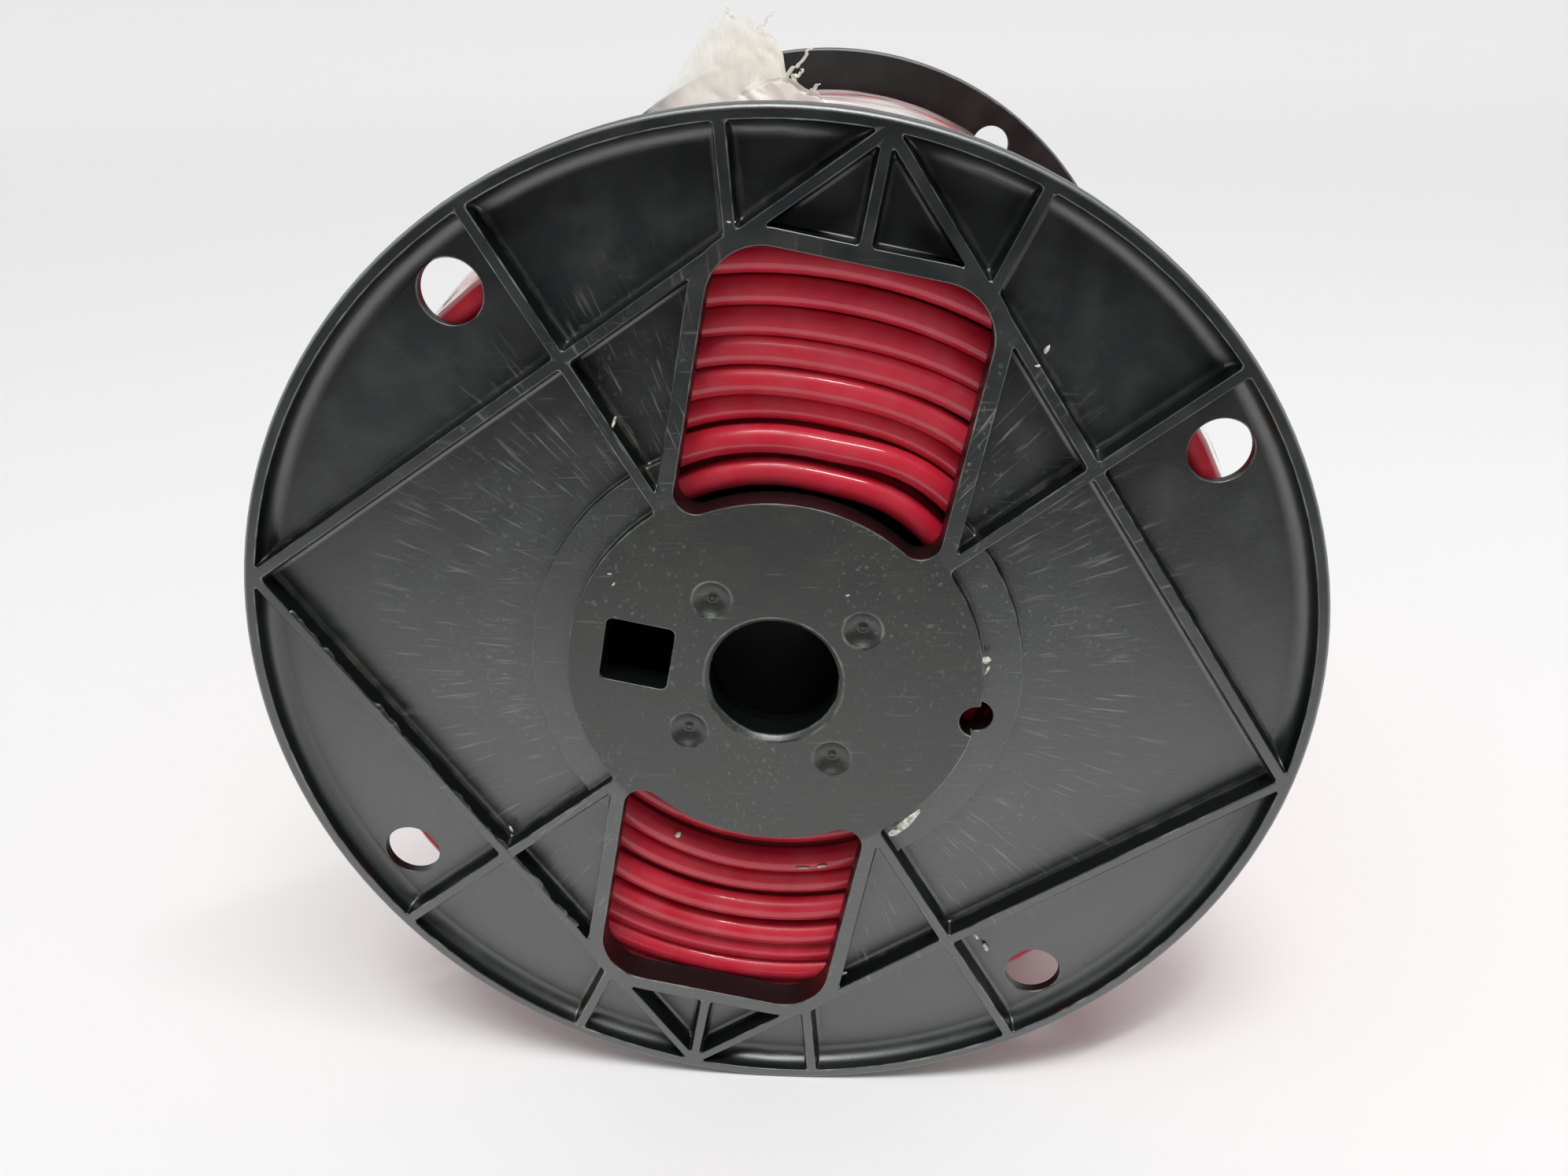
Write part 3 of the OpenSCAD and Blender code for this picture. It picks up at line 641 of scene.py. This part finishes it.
# Outlines of the gathered film, as places across the spool and heights over its highest line.
TALL_BUNCH = [(-36.0, -6.0), (-31.2, -0.6), (-27.6, 2.8), (-23.2, 8.4), (-18.6, 14.0), (-16.6, 17.0),
              (-15.4, 16.2), (-13.9, 18.6), (-12.4, 16.9), (-10.8, 17.2), (-8.6, 15.6), (-5.6, 13.6),
              (-4.0, 10.8), (-3.2, 6.8), (-1.6, 3.0), (2.5, 0.6)]
LOW_FOLDS = [(-17.0, 0.4), (-13.5, 2.6), (-9.0, 5.6), (-5.0, 6.8), (-1.6, 6.2), (0.6, 4.6), (3.2, 4.0),
             (5.0, 2.0), (8.0, 0.4)]


def crumpled_sheet(bm, outline, deep, shrink, fold, crease, seed):
    """One sheet of film that stands on the wrap under an outline, deep millimetres behind mid-width. Its
    top is torn down by up to the share shrink. It has upright folds and sharp creases of given depths."""
    top = FILM_R + 0.8
    left, right = outline[0][0], outline[-1][0]
    grid = bmesh.ops.create_grid(bm, x_segments=90, y_segments=44, size=1.0)["verts"]
    for vert in grid:
        x, up = left + (right - left) * (vert.co.x + 1) / 2, (vert.co.y + 1) / 2
        foot = math.sqrt(top * top - x * x) - 0.4
        torn = 1 - shrink * (0.5 + 0.5 * wave(x, 0, 0, seed, 5)) - 0.07 * wave(x, 0, 0, seed + 2, 1.2)
        z = foot + (top + between(x, outline) * torn - foot) * up
        y = deep + fold * wave(x, 0, z * 0.3, seed, 7) + 0.3 * fold * wave(x, 1, z * 0.5, seed + 4, 2.8)
        y += crease * ridge(x + z * 0.6, 2, z, seed + 5, 4.0)
        x += 0.7 * wave(x, 3, z, seed + 6, 4) * up
        vert.co = Vector((x, y, z)) * MM


def torn_strip(bm, start, end, half_width, seed):
    """A thin torn strip of film from one point to another, narrower towards its end."""
    grid = bmesh.ops.create_grid(bm, x_segments=3, y_segments=26, size=1.0)["verts"]
    for vert in grid:
        side, far = vert.co.x, (vert.co.y + 1) / 2
        spine = Vector(start).lerp(Vector(end), far)
        spine.x += side * half_width * (1 - 0.6 * far) + 1.0 * wave(far * 9, 0, 0, seed, 1.5)
        spine.y += 0.8 * wave(far * 9, 4, 0, seed, 2.4) + side * 0.3
        spine.z += 0.9 * wave(far * 9, 9, 0, seed, 1.2) + 0.3 * abs(side)
        vert.co = spine * MM


def gathered_tail(material):
    """The loose end of the film: a crumpled bunch with a torn tuft, low folds at its foot and strips."""
    # each sheet: outline, place along the bore, share torn down, depth of folds and of creases, seed
    sheets = [
        (TALL_BUNCH, 6.0, 0.03, 1.5, 0.3, 1), (TALL_BUNCH, 3.6, 0.22, 1.3, 0.3, 2),
        (TALL_BUNCH, 8.4, 0.14, 1.5, 0.3, 3), (LOW_FOLDS, 1.0, 0.10, 1.6, 1.0, 4),
        (LOW_FOLDS, -1.6, 0.45, 1.4, 1.0, 5),
    ]
    # each strip: where it starts and ends, half its width, seed
    strips = [
        ((-3.4, 2.0, 76.0), (1.8, 1.0, 82.2), 0.55, 11), ((-2.2, 2.4, 75.6), (0.2, 1.4, 79.0), 0.45, 15),
        ((0.6, 1.0, 73.0), (3.4, 0.5, 75.6), 0.8, 12), ((-8.0, 5.0, 85.4), (-4.4, 4.0, 88.2), 0.3, 13),
        ((-12.6, 5.0, 87.0), (-13.4, 5.0, 89.4), 0.4, 14),
    ]
    bm = bmesh.new()
    for sheet in sheets:
        crumpled_sheet(bm, *sheet)
    for strip in strips:
        torn_strip(bm, *strip)
    piece = piece_from(bm, "film_tail_bunch", material)
    wall = piece.modifiers.new("wall", "SOLIDIFY")
    wall.thickness = 0.1 * MM
    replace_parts(piece, "film_tail")


# ---------- studio ----------

def extruded_profile(bm, profile, start, end):
    """Draws an open profile of (y, z) places in metres out along X."""
    verts = [bm.verts.new((start, y, z)) for y, z in profile]
    edges = [bm.edges.new((verts[i], verts[i + 1])) for i in range(len(verts) - 1)]
    new = bmesh.ops.extrude_edge_only(bm, edges=edges)["geom"]
    moved = [g for g in new if isinstance(g, bmesh.types.BMVert)]
    bmesh.ops.translate(bm, vec=(end - start, 0, 0), verts=moved)
    bmesh.ops.recalc_face_normals(bm, faces=bm.faces[:])


def sweep(material):
    """Floor and backdrop in one sheet of paper that curves up behind."""
    bm = bmesh.new()
    floor_z = -FLANGE_R * MM
    front, back, bend, height, half_width = -3.0, 2.0, 0.8, 3.0, 4.0
    curve = [math.radians(10 * k) for k in range(1, 10)]
    profile = [(front, floor_z), (back, floor_z)]
    profile += [(back + bend * math.sin(a), floor_z + bend - bend * math.cos(a)) for a in curve]
    profile.append((back + bend, floor_z + height))
    extruded_profile(bm, profile, -half_width, half_width)
    piece = piece_from(bm, "paper_sweep", material)


def flag():
    """A dark studio flag round the camera, seen only in gloss: it keeps the flange from mirroring white."""
    material, tree = new_material("black_felt")
    shader = add(tree, "ShaderNodeBsdfPrincipled", {
        "Base Color": paint("#1a1a1c"), "Roughness": 0.9, "Specular IOR Level": 0.1})
    add(tree, "ShaderNodeOutputMaterial", {0: shader.outputs[0]})
    bm = bmesh.new()
    foot = (-0.265, -0.078)
    extruded_profile(bm, [foot, (-0.43, 0.10), (-0.50, 0.60), (-0.42, 1.15)], -1.0, 1.0)
    aside = Matrix.Rotation(math.radians(8), 3, "Z")
    bmesh.ops.rotate(bm, verts=bm.verts, cent=(0, foot[0], 0), matrix=aside)
    piece = piece_from(bm, "studio_flag", material)
    piece.visible_camera = False
    piece.visible_diffuse = False
    piece.visible_transmission = False
    piece.visible_shadow = False


def lamp(kind, name, energy, place, aim, **settings):
    """A lamp at a place in metres, turned to its aim."""
    data = bpy.data.lights.new(name, kind)
    data.energy = energy
    for key, value in settings.items():
        setattr(data, key, value)
    light = bpy.data.objects.new(name, data)
    bpy.context.scene.collection.objects.link(light)
    light.location = place
    light.rotation_euler = (Vector(aim) - Vector(place)).to_track_quat("-Z", "Y").to_euler()


def studio():
    """White paper, a soft key lamp, a strip lamp for the highlights and even pale air."""
    sweep(white_paper())
    flag()
    lamp("SUN", "soft_key", 1.3, (-0.08, -0.40, 1.0), (0, 0, 0), angle=math.radians(20))
    lamp("AREA", "strip", 3.0, (0.21, -0.40, 0.85), (0, -0.08, 0),
         shape="RECTANGLE", size=0.50, size_y=0.04)
    world = bpy.data.worlds.new("studio_air")
    bpy.context.scene.world = world
    world.use_nodes = True
    tree = world.node_tree
    tree.nodes.clear()
    seen = add(tree, "ShaderNodeLightPath").outputs
    first = add(tree, "ShaderNodeMath", {0: seen["Is Camera Ray"], 1: seen["Is Glossy Ray"]},
                operation="MAXIMUM").outputs[0]
    pale = add(tree, "ShaderNodeMath", {0: first, 1: seen["Is Transmission Ray"]},
               operation="MAXIMUM").outputs[0]
    air = add(tree, "ShaderNodeBackground", {"Color": paint("#ffffff"), "Strength": 0.45}).outputs[0]
    white = add(tree, "ShaderNodeBackground", {"Color": paint("#eeeff0"), "Strength": 1.0}).outputs[0]
    mixed = add(tree, "ShaderNodeMixShader", {0: pale, 1: air, 2: white}).outputs[0]
    add(tree, "ShaderNodeOutputWorld", {0: mixed})


def front_camera():
    """A camera close in front of the spool and above it, which leans a little to one side."""
    data = bpy.data.cameras.new("camera")
    data.lens = 29.147
    data.sensor_width = 36.0
    data.clip_start = 0.01
    data.shift_x = -0.0032
    data.shift_y = 0.0258
    camera = bpy.data.objects.new("camera", data)
    bpy.context.scene.collection.objects.link(camera)
    camera.matrix_world = (Matrix.Translation((0.01544, -0.25458, 0.0907))
                           @ Matrix.Rotation(math.radians(1.416), 4, "Z")
                           @ Matrix.Rotation(math.radians(63.531), 4, "X")
                           @ Matrix.Rotation(math.radians(2.767), 4, "Y"))
    bpy.context.scene.camera = camera


def main():
    """Builds every piece, the studio and the camera."""
    front_camera()
    plastic = moulded_plastic()
    wire = insulated_wire()
    broken_edges("front_flange", "front_flange_moulding", plastic)
    broken_edges("rear_flange", "rear_flange_moulding", plastic)
    trimmed_flash(plastic)
    caught_crumbs(chalky_crumbs())
    plain_barrel(plastic)
    outer_layer(wire)
    front_rows(wire)
    rear_rows(wire)
    packed_layers(wire)
    film_sleeve(wrapped_film())
    gathered_tail(bunched_film())
    studio()
    bpy.context.scene.view_settings.view_transform = "Standard"


main()
